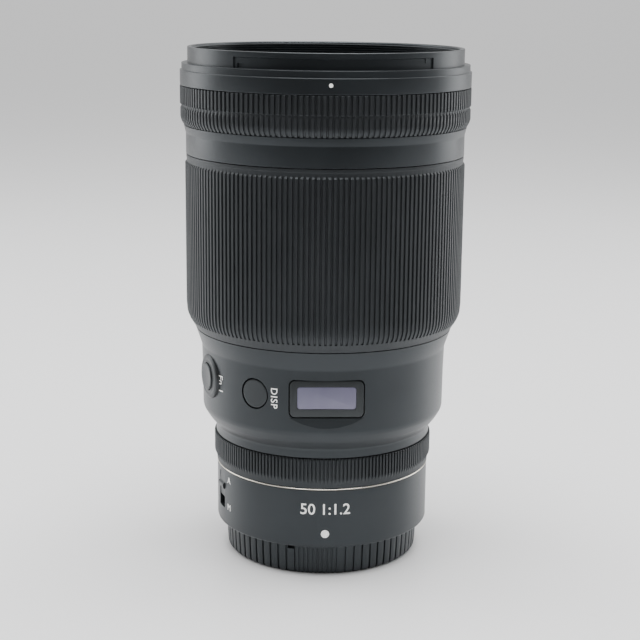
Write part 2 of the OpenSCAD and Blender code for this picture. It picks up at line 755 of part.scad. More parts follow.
color(GLASS) glass(E10);  // element_10
color(GLASS) glass(E11);  // element_11
color(GLASS) glass(E12);  // element_12
color(GLASS) glass(E13);  // element_13
color(GLASS) glass(E14);  // element_14
color(GLASS) glass(E15);  // element_15
color(GLASS) glass(E16);  // element_16
color(GLASS) glass(E17);  // element_17
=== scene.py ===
"""Looks of a prime camera lens that stands on its rear cap.

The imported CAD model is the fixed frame. Lengths in this script are millimetres, and
mesh_piece() turns them into Blender's metres. Azimuth 0 is the marked side (-Y), and
positive azimuths go towards +X.
"""
import math

import bmesh
import bpy
import numpy as np
from mathutils import Matrix, Vector


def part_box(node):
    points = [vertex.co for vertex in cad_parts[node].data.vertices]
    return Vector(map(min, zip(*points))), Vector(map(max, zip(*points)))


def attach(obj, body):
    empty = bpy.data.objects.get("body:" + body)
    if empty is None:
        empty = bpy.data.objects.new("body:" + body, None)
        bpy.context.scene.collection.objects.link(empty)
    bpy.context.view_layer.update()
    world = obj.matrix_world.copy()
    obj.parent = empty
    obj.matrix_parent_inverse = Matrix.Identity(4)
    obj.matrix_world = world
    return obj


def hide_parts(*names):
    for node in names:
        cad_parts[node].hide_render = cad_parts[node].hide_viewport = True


MM = 0.001
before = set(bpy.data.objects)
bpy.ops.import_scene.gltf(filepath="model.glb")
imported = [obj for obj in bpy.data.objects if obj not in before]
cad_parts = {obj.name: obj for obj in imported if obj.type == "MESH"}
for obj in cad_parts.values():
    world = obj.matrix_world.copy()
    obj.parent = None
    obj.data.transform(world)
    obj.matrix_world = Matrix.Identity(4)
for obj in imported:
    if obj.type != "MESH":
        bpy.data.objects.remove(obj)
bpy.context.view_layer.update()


def box_mm(node):
    """Lowest and highest corner of a CAD node, in millimetres."""
    low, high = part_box(node)
    return low / MM, high / MM


def span(node):
    """(lowest z, highest z, largest radius) of a CAD node, in millimetres."""
    low, high = box_mm(node)
    return low.z, high.z, max(high.x, high.y)


# ---------------------------------------------------------------- places from the frame

_, FRONT_Z1, BAND_R = span("front_ring")
GRIP_Z0, GRIP_Z1, GRIP_R = span("grip_ring")
BARREL_Z0, _, _ = span("front_barrel")
FOCUS_Z0, FOCUS_Z1, FOCUS_R = span("focus_ring")
MID_Z0, MID_Z1, _ = span("mid_barrel")
CONTROL_Z0, CONTROL_Z1, CONTROL_R = span("control_ring")
TRIM_Z0, TRIM_Z1, TRIM_R = span("trim_ring")
REAR_Z0, REAR_Z1, REAR_R = span("rear_barrel")
_, CAP_Z1, CAP_R = span("rear_cap")
_, NAME_Z1, NAME_R = span("name_ring")

RIM_R = 42.4                # hood rim at the front
FILTER_R = 41.0             # bore that holds the filter thread
MID_R = 38.4                # middle barrel at the height of the buttons
BAND_Z0 = GRIP_Z1 + 0.15    # lower edge of the smooth band

FOCUS_RIBS = 170
GRIP_RIBS = 168
CONTROL_RIBS = 185
RIB_DEPTH = 0.5

CAP_GROOVES = 68
CAP_PITCH = 360 / (CAP_GROOVES + 0.5)
CAP_START = -17.0           # azimuth of the first of the close grooves
CLOSE_GROOVES = 10          # grooves at half the pitch, next to the index notch

SWITCH_AZ = -71.3
DISP_AZ, DISP_D = -34.2, 8.8
FN_AZ, FN_D, FN_BEZEL_D = -67.9, 8.3, 13.76
MARK_AZ = -61.6             # the two letters beside the switch


# ---------------------------------------------------------------- node materials

COOL_TINT = (0.85, 0.94, 1.0)


def new_material(name):
    """New material with its nodes, its links and its principled shader."""
    mat = bpy.data.materials.new(name)
    mat.use_nodes = True
    nodes = mat.node_tree.nodes
    return mat, nodes, mat.node_tree.links, nodes["Principled BSDF"]


def object_noise(nodes, links, scale, detail=4.0, stretch=(1, 1, 1)):
    """Noise fixed to the piece, so that it turns with it. scale is in cells per metre."""
    coords = nodes.new("ShaderNodeTexCoord")
    mapping = nodes.new("ShaderNodeMapping")
    mapping.inputs["Scale"].default_value = stretch
    noise = nodes.new("ShaderNodeTexNoise")
    noise.inputs["Scale"].default_value = scale
    noise.inputs["Detail"].default_value = detail
    links.new(coords.outputs["Object"], mapping.inputs["Vector"])
    links.new(mapping.outputs["Vector"], noise.inputs["Vector"])
    return noise.outputs["Fac"]


def ramp(nodes, links, source, stops):
    """Colour ramp from (position, grey or colour) stops."""
    node = nodes.new("ShaderNodeValToRGB")
    links.new(source, node.inputs["Fac"])
    elements = node.color_ramp.elements
    while len(elements) < len(stops):
        elements.new(0.5)
    for element, (place, value) in zip(elements, stops):
        element.position = place
        rgb = (value,) * 3 if isinstance(value, (int, float)) else value
        element.color = (*rgb, 1)
    return node.outputs["Color"]


def bump_from(nodes, links, height, strength, distance):
    """Normal bumped by a height signal. distance is in millimetres."""
    bump = nodes.new("ShaderNodeBump")
    bump.inputs["Strength"].default_value = strength
    bump.inputs["Distance"].default_value = distance * MM
    links.new(height, bump.inputs["Height"])
    return bump.outputs["Normal"]


def scaled(colour, share):
    return tuple(c * share for c in colour)


def fine_black(name, colour, roughness, grain, grain_depth):
    """Black coating with a fine grain and a faintly cloudy tone."""
    mat, nodes, links, shader = new_material(name)
    cloud = object_noise(nodes, links, 45, 5)
    tone = ramp(nodes, links, cloud, [(0.3, scaled(colour, 0.78)), (0.7, scaled(colour, 1.35))])
    links.new(tone, shader.inputs["Base Color"])
    shader.inputs["Specular Tint"].default_value = (*COOL_TINT, 1)
    fine = object_noise(nodes, links, grain, 2)
    rough = ramp(nodes, links, fine, [(0.3, roughness - 0.05), (0.7, roughness + 0.06)])
    links.new(rough, shader.inputs["Roughness"])
    links.new(bump_from(nodes, links, fine, 0.35, grain_depth), shader.inputs["Normal"])
    return mat


def plain_material(name, colour, roughness, metallic=0.0, grain=900, depth=0.01, coat=0.0):
    """Single-tone part with a fine procedural grain in colour, roughness and bump."""
    mat, nodes, links, shader = new_material(name)
    fine = object_noise(nodes, links, grain, 3)
    tone = ramp(nodes, links, fine, [(0.3, scaled(colour, 0.85)), (0.7, scaled(colour, 1.12))])
    links.new(tone, shader.inputs["Base Color"])
    rough = ramp(nodes, links, fine, [(0.3, roughness * 0.85), (0.7, roughness * 1.15)])
    links.new(rough, shader.inputs["Roughness"])
    links.new(bump_from(nodes, links, fine, 0.3, depth), shader.inputs["Normal"])
    shader.inputs["Metallic"].default_value = metallic
    shader.inputs["Coat Weight"].default_value = coat
    return mat


def glowing_white_fill():
    """Bright paint of the marks with a faint painted glow (emission), so that it stays white in
    dull light.
    """
    mat = plain_material("glowing_white_fill", (0.95, 0.95, 0.92), 0.5, depth=0.004)
    shader = mat.node_tree.nodes["Principled BSDF"]
    # Painted glow: the white paint emits a little light of its own, though it is no lamp
    shader.inputs["Emission Color"].default_value = (1, 1, 0.97, 1)
    shader.inputs["Emission Strength"].default_value = 0.35
    return mat


def turned_metal(name, colour, roughness):
    """Metal with the fine lines that a lathe leaves round the axis."""
    mat, nodes, links, shader = new_material(name)
    lines = object_noise(nodes, links, 900, 3, (0.02, 0.02, 4))
    tone = ramp(nodes, links, lines, [(0.3, scaled(colour, 0.8)), (0.7, colour)])
    links.new(tone, shader.inputs["Base Color"])
    rough = ramp(nodes, links, lines, [(0.3, roughness * 0.7), (0.7, roughness * 1.3)])
    links.new(rough, shader.inputs["Roughness"])
    shader.inputs["Metallic"].default_value = 1.0
    return mat


def coated_glass(name, tint, coating):
    """Clear element with a reflection that grows towards its edge.

    tint colours what is seen through it. coating holds the reflection's colours, straight on
    and at the edge.
    """
    mat = bpy.data.materials.new(name)
    mat.use_nodes = True
    nodes, links = mat.node_tree.nodes, mat.node_tree.links
    nodes.remove(nodes["Principled BSDF"])
    clear = nodes.new("ShaderNodeBsdfTransparent")
    clear.inputs["Color"].default_value = (*tint, 1)
    gloss = nodes.new("ShaderNodeBsdfGlossy")
    gloss.inputs["Roughness"].default_value = 0.02
    fresnel = nodes.new("ShaderNodeLayerWeight")
    fresnel.inputs["Blend"].default_value = 0.25
    facing = fresnel.outputs["Facing"]
    colour = ramp(nodes, links, facing, [(0.0, coating[0]), (0.6, coating[1])])
    links.new(colour, gloss.inputs["Color"])
    share = ramp(nodes, links, facing, [(0.0, 0.05), (0.5, 0.12), (1.0, 0.9)])
    mix = nodes.new("ShaderNodeMixShader")
    links.new(share, mix.inputs["Fac"])
    links.new(clear.outputs["BSDF"], mix.inputs[1])
    links.new(gloss.outputs["BSDF"], mix.inputs[2])
    links.new(mix.outputs["Shader"], nodes["Material Output"].inputs["Surface"])
    return mat


def screen_material():
    """Switched-off display: slightly cloudy lavender-grey under glossy glass."""
    mat, nodes, links, shader = new_material("screen")
    cloud = object_noise(nodes, links, 120, 2, (1, 1, 0.5))
    tone = ramp(nodes, links, cloud, [(0.35, (0.165, 0.15, 0.24)),
                                      (0.65, (0.19, 0.185, 0.27))])
    links.new(tone, shader.inputs["Base Color"])
    shader.inputs["Roughness"].default_value = 0.35
    shader.inputs["Coat Weight"].default_value = 0.12
    shader.inputs["Coat Roughness"].default_value = 0.08
    return mat


PAINT = fine_black("barrel_paint", (0.0115, 0.013, 0.0145), 0.36, 5200, 0.02)
RUBBER = fine_black("ring_ribs", (0.013, 0.0135, 0.0145), 0.50, 4200, 0.02)
PLASTIC = fine_black("cap_plastic", (0.016, 0.018, 0.0195), 0.44, 2600, 0.03)
BUTTON = fine_black("button_plastic", (0.018, 0.019, 0.0195), 0.36, 3600, 0.015)
BAFFLE = plain_material("baffle_black", (0.006, 0.006, 0.0065), 0.75)
FRAME_BLACK = fine_black("display_frame", (0.026, 0.027, 0.027), 0.42, 4000, 0.012)
SILVER = turned_metal("trim_silver", (0.74, 0.70, 0.62), 0.25)
STEEL = turned_metal("steel", (0.62, 0.62, 0.61), 0.3)
CHROME = turned_metal("mount_chrome", (0.74, 0.73, 0.71), 0.2)
GOLD = plain_material("gold", (0.85, 0.6, 0.25), 0.25, 1.0)
BOARD = plain_material("board", (0.02, 0.12, 0.06), 0.45, coat=0.4)
GASKET = plain_material("gasket", (0.012, 0.012, 0.012), 0.7)
WHITE = glowing_white_fill()
BLADE = plain_material("blade", (0.02, 0.02, 0.021), 0.4, 0.3)
GLASS_FRONT = coated_glass("front_glass", (0.93, 0.96, 0.95),
                           ((0.35, 0.75, 0.6), (0.75, 0.7, 0.9)))
GLASS_INNER = coated_glass("inner_glass", (0.93, 0.95, 0.95),
                           ((0.75, 0.45, 0.75), (0.7, 0.8, 0.95)))
SCREEN = screen_material()


# ---------------------------------------------------------------- mesh helpers

def spot(az, r, z):
    """Point at an azimuth, radius and height."""
    a = math.radians(az)
    return Vector((r * math.sin(a), -r * math.cos(a), z))


SHARP = 32    # edges bent by more degrees than this stay crisp


def add_object(name, data):
    obj = bpy.data.objects.new(name, data)
    bpy.context.scene.collection.objects.link(obj)
    return obj


def mesh_piece(name, verts, faces, material, body, slot, sharp=SHARP):
    """New piece from millimetre points, shaded smooth except at edges sharper than sharp."""
    mesh = bpy.data.meshes.new(name)
    mesh.from_pydata([Vector(v) * MM for v in verts], [], faces)
    work = bmesh.new()
    work.from_mesh(mesh)
    bmesh.ops.remove_doubles(work, verts=work.verts, dist=2e-7)
    bmesh.ops.dissolve_degenerate(work, edges=work.edges, dist=1e-7)
    bmesh.ops.recalc_face_normals(work, faces=work.faces)
    work.to_mesh(mesh)
    work.free()
    return finish_piece(add_object(name, mesh), material, body, sharp)


def finish_piece(piece, material, body, sharp=SHARP):
    """Gives a piece its material, its shading and its body."""
    piece.data.materials.clear()
    piece.data.materials.append(material)
    shade(piece, sharp)
    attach(piece, body)
    return piece


def shade(piece, sharp):
    for face in piece.data.polygons:
        face.use_smooth = True
    piece.data.set_sharp_from_angle(angle=math.radians(sharp))


def rounded(outline, radius=0.15, steps=3):
    """Closed outline of (r, z) or (r, z, corner radius) points, with its corners rounded."""
    result = []
    count = len(outline)
    for i, corner in enumerate(outline):
        here = np.array(corner[:2], float)
        before = np.array(outline[i - 1][:2], float) - here
        after = np.array(outline[(i + 1) % count][:2], float) - here
        want = corner[2] if len(corner) > 2 else radius
        reach = min(want, 0.45 * np.linalg.norm(before), 0.45 * np.linalg.norm(after))
        if reach < 1e-3:
            result.append(tuple(here))
            continue
        start = here + before / np.linalg.norm(before) * reach
        end = here + after / np.linalg.norm(after) * reach
        for k in range(steps + 1):
            s = k / steps
            point = (1 - s) ** 2 * start + 2 * s * (1 - s) * here + s * s * end
            result.append(tuple(point))
    return result


ROUND = 288    # columns of a smooth round piece


def plain_columns(count=ROUND):
    return [(360 * k / count, 0.0) for k in range(count)]


def rib_columns(ribs, profile):
    """Columns for evenly spaced grooves.

    profile holds (place in the pitch, groove depth from 0 to 1).
    """
    pitch = 360 / ribs
    return [((i + place) * pitch, depth) for i in range(ribs) for place, depth in profile]


def ring_faces(count, rows):
    """Faces of a closed ring of count loops with rows points each."""
    faces = []
    for i in range(count):
        a, b = i * rows, (i + 1) % count * rows
        for j in range(rows):
            k = (j + 1) % rows
            faces.append((a + j, b + j, b + k, a + k))
    return faces


def revolve(name, outline, material, body, slot, columns=None, cut=None, sharp=SHARP):
    """Closed outline swept round the axis.

    columns holds (azimuth, share of the cut there), and cut(share, r, z) returns the radius.
    """
    columns = columns or plain_columns()
    verts = []
    for az, share in columns:
        for r, z in outline:
            verts.append(spot(az, cut(share, r, z) if cut else r, z))
    faces = ring_faces(len(columns), len(outline))
    return mesh_piece(name, verts, faces, material, body, slot, sharp)


def outward(az, z):
    """Matrix in millimetres whose local +Z points out of the barrel, and +Y up it."""
    a = math.radians(az)
    out = Vector((math.sin(a), -math.cos(a), 0))
    up = Vector((0, 0, 1))
    side = up.cross(out)
    return Matrix(((side.x, up.x, out.x, 0), (side.y, up.y, out.y, 0),
                   (side.z, up.z, out.z, z), (0, 0, 0, 1)))


def rounded_rectangle(w, h, r, steps=6):
    """Points of a rectangle with corners of radius r, centred on the origin."""
    points = []
    for cx, cy, start in ((1, 1, 0), (-1, 1, 90), (-1, -1, 180), (1, -1, 270)):
        for k in range(steps + 1):
            a = math.radians(start + 90 * k / steps)
            points.append((cx * (w / 2 - r) + r * math.cos(a),
                           cy * (h / 2 - r) + r * math.sin(a)))
    return points


def stacked(loops):
    """Closed solid through loops of points, each with the same count, capped at both ends."""
    size = len(loops[0])
    verts = [p for loop in loops for p in loop]
    faces = [tuple(range(size))[::-1], tuple(range(len(verts) - size, len(verts)))]
    for level in range(len(loops) - 1):
        a = level * size
        for k in range(size):
            n = (k + 1) % size
            faces.append((a + k, a + n, a + size + n, a + size + k))
    return verts, faces


def cut_out(piece, cutters, sharp=SHARP):
    """Subtracts the cutters from the piece for good."""
    for cutter in cutters:
        tool = piece.modifiers.new("cut", "BOOLEAN")
        tool.operation = "DIFFERENCE"
        tool.solver = "EXACT"
        tool.object = cutter
    bpy.context.view_layer.update()
    graph = bpy.context.evaluated_depsgraph_get()
    mesh = bpy.data.meshes.new_from_object(piece.evaluated_get(graph))
    piece.modifiers.clear()
    piece.data = mesh
    for cutter in cutters:
        bpy.data.objects.remove(cutter)
    shade(piece, sharp)


def cutter_from(verts, faces):
    """Object to subtract with cut_out(), from millimetre points."""
    mesh = bpy.data.meshes.new("cutter")
    mesh.from_pydata([Vector(v) * MM for v in verts], [], faces)
    work = bmesh.new()
    work.from_mesh(mesh)
    bmesh.ops.recalc_face_normals(work, faces=work.faces)
    work.to_mesh(mesh)
    work.free()
    return add_object("cutter", mesh)


def prism_out(az, z, points, r0, r1):
    """Prism that stands out of the barrel between two radii."""
    place = outward(az, z)
    return stacked([[place @ Vector((x, y, r)) for x, y in points] for r in (r0, r1)])


def hole(az, z, points, r0, r1):
    return cutter_from(*prism_out(az, z, points, r0, r1))


def circle_points(d, count=96):
    angles = [2 * math.pi * k / count for k in range(count)]
    return [(d / 2 * math.cos(a), d / 2 * math.sin(a)) for a in angles]


def middle_z(low, high):
    return (low.z + high.z) / 2


# ---------------------------------------------------------------- turned outer shells

# One pitch of a ribbed ring: (place in the pitch, groove depth from 0 to 1)
RIB_PROFILE = [(-0.24, 0.0), (0.24, 0.0), (0.285, 0.16), (0.32, 0.8), (0.36, 1.0),
               (0.5, 1.0), (0.64, 1.0), (0.68, 0.8), (0.715, 0.16)]
LEAST_GROOVE = 0.4    # depth that the grooves keep where the ring narrows


def groove_to(root_r, inner_r, low_z=0.0, soft_z=0.0, top_z=math.inf):
    """Cut that sinks grooves to root_r below top_z.

    From low_z to soft_z the grooves are at least LEAST_GROOVE deep.
    """
    def cut(share, r, z):
        if r < inner_r or z > top_z:
            return r
        depth = LEAST_GROOVE if low_z < z < soft_z else 0.0
        return r - share * max(depth, r - root_r)
    return cut


def rows_between(r, z0, z1, count):
    """Points that divide a straight upright wall, so that its faces stay short."""
    return [(r, z0 + (z1 - z0) * k / count, 0) for k in range(1, count)]


def build_focus_ring():
    inner = 39.3
    straight_z0, straight_z1 = 81.0, 124.5
    chamfer_z = 125.05
    lip_r = FOCUS_R - 0.38
    # The bottom edge flares up to the straight wall
    outline = [(inner, FOCUS_Z0), (40.5, FOCUS_Z0, 0.12), (40.9, 73.9, 0.4), (42.1, 75.8, 0),
               (42.15, 75.9, 0), (42.35, 76.2, 0.3), (43.1, 78.0, 1.2),
               (FOCUS_R, straight_z0, 1.0)]
    outline += rows_between(FOCUS_R, straight_z0, 124.6, 4)
    # The ribs end in a crisp chamfer below a smooth lip
    outline += [(FOCUS_R, straight_z1, 0), (FOCUS_R - 0.47, chamfer_z, 0),
                (FOCUS_R - 0.47, 126.2, 0.05), (lip_r, 126.35, 0.05), (lip_r, FOCUS_Z1, 0.12),
                (inner, FOCUS_Z1)]
    skin = revolve("focus_ring_skin", rounded(outline), RUBBER, "focus_ring", "ring_black",
                   rib_columns(FOCUS_RIBS, RIB_PROFILE),
                   groove_to(FOCUS_R - RIB_DEPTH, 40.5, 75.85, 79.0, chamfer_z + 0.05))
    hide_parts("focus_ring")


def build_grip_ring():
    inner = 40.4
    low_r = GRIP_R - 0.08
    seam_z0, seam_z1 = 141.3, 142.65
    outline = [(inner, GRIP_Z0), (GRIP_R - 1.15, GRIP_Z0, 0.1), (low_r - 0.3, 137.5, 0.5),
               (low_r, 138.6, 0.5), (low_r, seam_z0, 0), (GRIP_R - 0.4, 141.85, 0),
               (GRIP_R - 0.45, 142.4, 0.06), (GRIP_R, seam_z1, 0.06)]
    outline += rows_between(GRIP_R, 142.7, 147.8, 3)
    outline += [(GRIP_R, GRIP_Z1 - 0.2, 0.06), (GRIP_R - 0.3, GRIP_Z1, 0.05), (inner, GRIP_Z1)]
    skin = revolve("grip_ring_skin", rounded(outline), RUBBER, "housing", "ring_black",
                   rib_columns(GRIP_RIBS, RIB_PROFILE),
                   groove_to(GRIP_R - RIB_DEPTH, 42.0, 0, 139.0))
    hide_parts("grip_ring")


def build_control_ring():
    inner = 32.7
    straight_z0 = 32.2
    outline = [(inner, CONTROL_Z0), (33.95, CONTROL_Z0, 0.1), (34.05, 30.2, 0.3),
               (34.35, 31.4, 0.3), (CONTROL_R, straight_z0, 0.3)]
    outline += rows_between(CONTROL_R, straight_z0, 38.1, 2)
    outline += [(CONTROL_R, 38.25, 0.15), (CONTROL_R - 0.3, CONTROL_Z1, 0.1),
                (inner, CONTROL_Z1)]
    skin = revolve("control_ring_skin", rounded(outline), RUBBER, "control_ring", "ring_black",
                   rib_columns(CONTROL_RIBS, RIB_PROFILE),
                   groove_to(CONTROL_R - RIB_DEPTH, 33.2))
    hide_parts("control_ring")


# Azimuths at which each hood slot starts and ends, and the azimuth of the stop inside it
HOOD_SLOTS = [(-40.6, 44.9, 41.3), (94.3, 150.3, 146.3), (214.3, 270.3, 266.3)]
SLOT_DEPTH = 0.45
SLOT_RAMP = 0.35                     # degrees over which a slot's end sinks
SLOT_Z = (154.92, 158.1)
NOTCH_START, NOTCH_END = 1.6, 4.2    # degrees from the slot's start
NOTCH_RAMP = 0.3
NOTCH_DEPTH = 0.4                    # below the slot's floor
NOTCH_Z = (155.0, 156.4)


def slot_depths(az):
    """How far the slot and its notch sink at an azimuth, as shares of their depths."""
    for start, end, _ in HOOD_SLOTS:
        if start < az < end:
            slot = min(1.0, (az - start) / SLOT_RAMP, (end - az) / SLOT_RAMP)
            inside = min(az - start - NOTCH_START, start + NOTCH_END - az)
            return slot, min(1.0, max(0.0, inside / NOTCH_RAMP))
    return 0.0, 0.0


def front_ring_azimuths():
    """Even columns with extra ones at the ends of the slots and notches."""
    azimuths = [360 * k / ROUND for k in range(ROUND)]
    for start, end, _ in HOOD_SLOTS:
        azimuths += [start, start + SLOT_RAMP, end - SLOT_RAMP, end]
        azimuths += [start + NOTCH_START, start + NOTCH_START + NOTCH_RAMP,
                     start + NOTCH_END - NOTCH_RAMP, start + NOTCH_END]
    return sorted({round((az + 60) % 360 - 60, 4) for az in azimuths})


def build_front_ring():
    """Rim with three hood slots. Rows marked slot, half or notch sink inside a slot."""
    seat_r, inner, skirt = FILTER_R - 0.6, 38.7, 40.2
    seat_z0, seat_z1, skirt_z = 150.6, 154.7, 144.2
    (slot_z0, slot_z1), (notch_z0, notch_z1) = SLOT_Z, NOTCH_Z
    plain = rounded([(inner, seat_z0), (inner, skirt_z), (skirt, skirt_z), (skirt, BAND_Z0),
                     (BAND_R - 0.08, BAND_Z0, 0.1), (BAND_R, BAND_Z0 + 0.15, 0.1),
                     (BAND_R, 152.8, 0.12), (44.22, 152.95, 0.05), (44.2, 154.86, 0.1),
                     (RIM_R + 0.02, slot_z0 - 0.02, 0)])
    rows = [(r, z, None) for r, z in plain]
    rows += [(RIM_R, slot_z0, None), (RIM_R, slot_z0 + 0.02, "slot"), (RIM_R, notch_z0, "slot"),
             (RIM_R, notch_z0 + 0.05, "notch"), (RIM_R, notch_z1 - 0.05, "notch"),
             (RIM_R, notch_z1, "slot"), (RIM_R, slot_z1 - 0.2, "slot"),
             (RIM_R, slot_z1, "half"), (RIM_R, slot_z1 + 0.03, None)]
    top = rounded([(RIM_R, slot_z1 + 0.1, 0), (RIM_R, FRONT_Z1, 0.25),
                   (FILTER_R + 0.3, FRONT_Z1, 0.15), (FILTER_R, FRONT_Z1 - 0.4, 0.1),
                   (FILTER_R, seat_z1, 0.05), (seat_r, seat_z1, 0.05), (seat_r, seat_z0, 0)])
    rows += [(r, z, None) for r, z in top]
    azimuths = front_ring_azimuths()
    verts = []
    for az in azimuths:
        slot, notch = slot_depths(az)
        sink = {None: 0.0, "slot": SLOT_DEPTH * slot, "half": 0.6 * SLOT_DEPTH * slot,
                "notch": SLOT_DEPTH * slot + NOTCH_DEPTH * notch}
        verts += [spot(az, r - sink[kind], z) for r, z, kind in rows]
    skin = mesh_piece("front_ring_skin", verts, ring_faces(len(azimuths), len(rows)),
                      PAINT, "housing", "barrel_black")
    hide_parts("front_ring")
    stop = rounded_rectangle(1.0, 1.5, 0.2, 3)
    for k, (_, _, az) in enumerate(HOOD_SLOTS):
        mesh_piece(f"hood_stop_{k + 1}", *prism_out(az, 157.35, stop, RIM_R - 0.9, RIM_R - 0.3),
                   PAINT, "housing", "barrel_black")


def build_filter_thread():
    """Helical ridge of the filter thread, standing inwards from the bore."""
    pitch, turns, per_turn = 0.75, 5, 180
    steps = per_turn * turns
    run_out = 20              # steps over which the ridge fades at either end
    ridge, root, crest_half, root_half = 0.34, 0.08, 0.06, 0.3
    base = FILTER_R + 0.05    # sunk a little into the rim
    z0 = FRONT_Z1 - 0.55 - pitch * turns
    loops = []
    for k in range(steps + 1):
        share = k / per_turn
        fade = min(1.0, k / run_out, (steps - k) / run_out)
        z = z0 + pitch * share
        crest = FILTER_R - root - ridge * fade
        az = 360 * share
        loops.append([spot(az, base, z - root_half), spot(az, crest, z - crest_half),
                      spot(az, crest, z + crest_half), spot(az, base, z + root_half)])
    verts, faces = stacked(loops)
    mesh_piece("filter_thread_turns", verts, faces, PAINT, "housing", "barrel_black", 50)


def build_front_barrel():
    top = FOCUS_R - 0.3
    bore_low, bore_high, spigot = 39.3, 38.7, 40.2
    outline = rounded([(bore_low, BARREL_Z0), (top, BARREL_Z0, 0.15), (top, 133.7, 0.25),
                       (43.65, GRIP_Z0 - 0.1, 0.05), (spigot, GRIP_Z0 - 0.1), (spigot, 144.0),
                       (bore_high, 144.0), (bore_high, 131.0), (bore_low, 131.0)])
    skin = revolve("front_barrel_skin", outline, PAINT, "housing", "barrel_black")
    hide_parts("front_barrel")


def build_trim_ring():
    inner = 32.7
    mid_z = (TRIM_Z0 + TRIM_Z1) / 2
    outline = rounded([(inner, TRIM_Z0), (TRIM_R - 0.4, TRIM_Z0, 0.05),
                       (TRIM_R - 0.35, mid_z - 0.12, 0.03), (TRIM_R, mid_z - 0.06, 0.05),
                       (TRIM_R, mid_z + 0.12, 0.05), (TRIM_R - 0.2, TRIM_Z1, 0.05),
                       (inner, TRIM_Z1)])
    skin = revolve("trim_ring_skin", outline, SILVER, "housing", "trim_silver")
    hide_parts("trim_ring")


CUT_R0, CUT_R1 = 30, 45    # radii between which the barrels' openings are cut


def build_mid_barrel():
    """Flared and waisted barrel with openings for the display and the buttons."""
    outline = rounded([
        (40.5, MID_Z1, 0.1), (38.62, 67.3, 0.5), (MID_R, 60, 1), (38.3, 48.0, 0.5),
        (38.05, 46.9, 0.5), (36.6, 44.5, 0.3), (34.4, 41.8, 0.35), (34.2, 41.2, 0.3),
        (34.2, MID_Z0, 0.1), (32.7, MID_Z0), (32.7, 42.2), (36.2, 45.6), (36.6, 46.4),
        (36.6, 67.6), (37.2, 68.2), (37.2, MID_Z1)], 0.1)
    skin = revolve("mid_barrel_skin", outline, PAINT, "housing", "barrel_black",
                   plain_columns(360))
    low, high = box_mm("display_frame")
    gap = 0.35
    opening = rounded_rectangle(high.x - low.x + 2 * gap, high.z - low.z + 2 * gap, 1.9)
    cutters = [hole(0, middle_z(low, high), opening, CUT_R0, CUT_R1)]
    # Sloping facet below the display, which meets the round barrel in an arc
    facet_y, facet_z, facet_h, facet_rise = low.y + 0.35, low.z - gap + 0.2, 5.6, 3.1
    clear_y, half_width = -60, 13
    section = [(facet_y, facet_z), (facet_y - facet_rise, facet_z - facet_h),
               (clear_y, facet_z - facet_h), (clear_y, facet_z)]
    ends = [[Vector((x, y, z)) for y, z in section] for x in (-half_width, half_width)]
    cutters.append(cutter_from(*stacked(ends)))
    disp_z = middle_z(*box_mm("disp_button"))
    cutters.append(hole(DISP_AZ, disp_z, circle_points(DISP_D + 0.75), CUT_R0, CUT_R1))
    fn_low, fn_high = box_mm("fn_bezel")
    fn_d = fn_high.z - fn_low.z + 0.06
    cutters.append(hole(FN_AZ, middle_z(fn_low, fn_high), circle_points(fn_d), CUT_R0, CUT_R1))
    cut_out(skin, cutters, 20)
    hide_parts("mid_barrel")


def build_rear_barrel():
    bore, mouth, mouth_z = 32.6, 31.5, 12.0
    outline = rounded([(bore, REAR_Z1), (REAR_R, REAR_Z1, 0.05), (REAR_R, REAR_Z0, 2.5),
                       (mouth, REAR_Z0, 0.05), (mouth, mouth_z), (bore, mouth_z)], 0.08, 8)
    skin = revolve("rear_barrel_skin", outline, PAINT, "housing", "barrel_black",
                   plain_columns(360))
    slot = rounded_rectangle(5.0, 11.4, 0.55)
    cut_out(skin, [hole(SWITCH_AZ, 21.3, slot, 30, 40)])
    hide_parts("rear_barrel")


def cap_grooves():
    """(azimuth, depth) of the cap's grip grooves: close together on the marked side."""
    first_depth, close_depth, wide_depth = 0.5, 0.34, 0.55
    taken = CLOSE_GROOVES // 2    # wide grooves whose place the close ones take
    close = [(CAP_START + i * CAP_PITCH / 2, close_depth if i else first_depth)
             for i in range(CLOSE_GROOVES)]
    wide = [(CAP_START + (taken - 0.5 + i) * CAP_PITCH, wide_depth)
            for i in range(1, CAP_GROOVES - taken + 1)]
    return close + wide


def build_cap_skin():
    """Cap with narrow grip grooves that run out through its lower edge."""
    low_r = CAP_R - 0.5
    groove_top, groove_inner = 8.75, low_r - 1.2
    half_groove = math.degrees(0.27 / CAP_R)
    # (place across a groove in half widths, share of its depth)
    profile = [(-2.6, 0), (-1.3, 0.12), (-0.95, 1), (0.95, 1), (1.3, 0.12), (2.6, 0)]
    columns = sorted((az + place * half_groove, depth * share)
                     for az, depth in cap_grooves() for place, share in profile)
    # Standing face with its rounded edge, then the wall, which widens upwards
    outline = [(0, 0.3), (24.0, 0.3, 0.1), (24.3, 0, 0.1), (low_r - 1.05, 0, 0.3),
               (low_r - 0.1, 0.75, 0.45)]
    outline += [(low_r + 0.02, 1.5, 0), (low_r + 0.23, 5.0, 0), (low_r + 0.43, 8.7, 0),
                (low_r + 0.45, 8.9, 0)]
    # Top edge and the inside
    outline += [(CAP_R, CAP_Z1, 0.22), (29.0, CAP_Z1, 0.15), (29.0, 3.6), (28.0, 3.6),
                (28.0, 1.8), (0, 1.8)]

    def cut(depth, r, z):
        return r if r < groove_inner or z > groove_top else r - depth

    skin = revolve("rear_cap_skin", rounded(outline, 0.1), PLASTIC, "rear_cap", "cap_black",
                   columns, cut, 28)
    notch = rounded_rectangle(2.2, 3.0, 0.15)
    cut_out(skin, [hole(CAP_START - CAP_PITCH / 2, 9.55, notch, CAP_R - 1.5, 34)])
    return skin


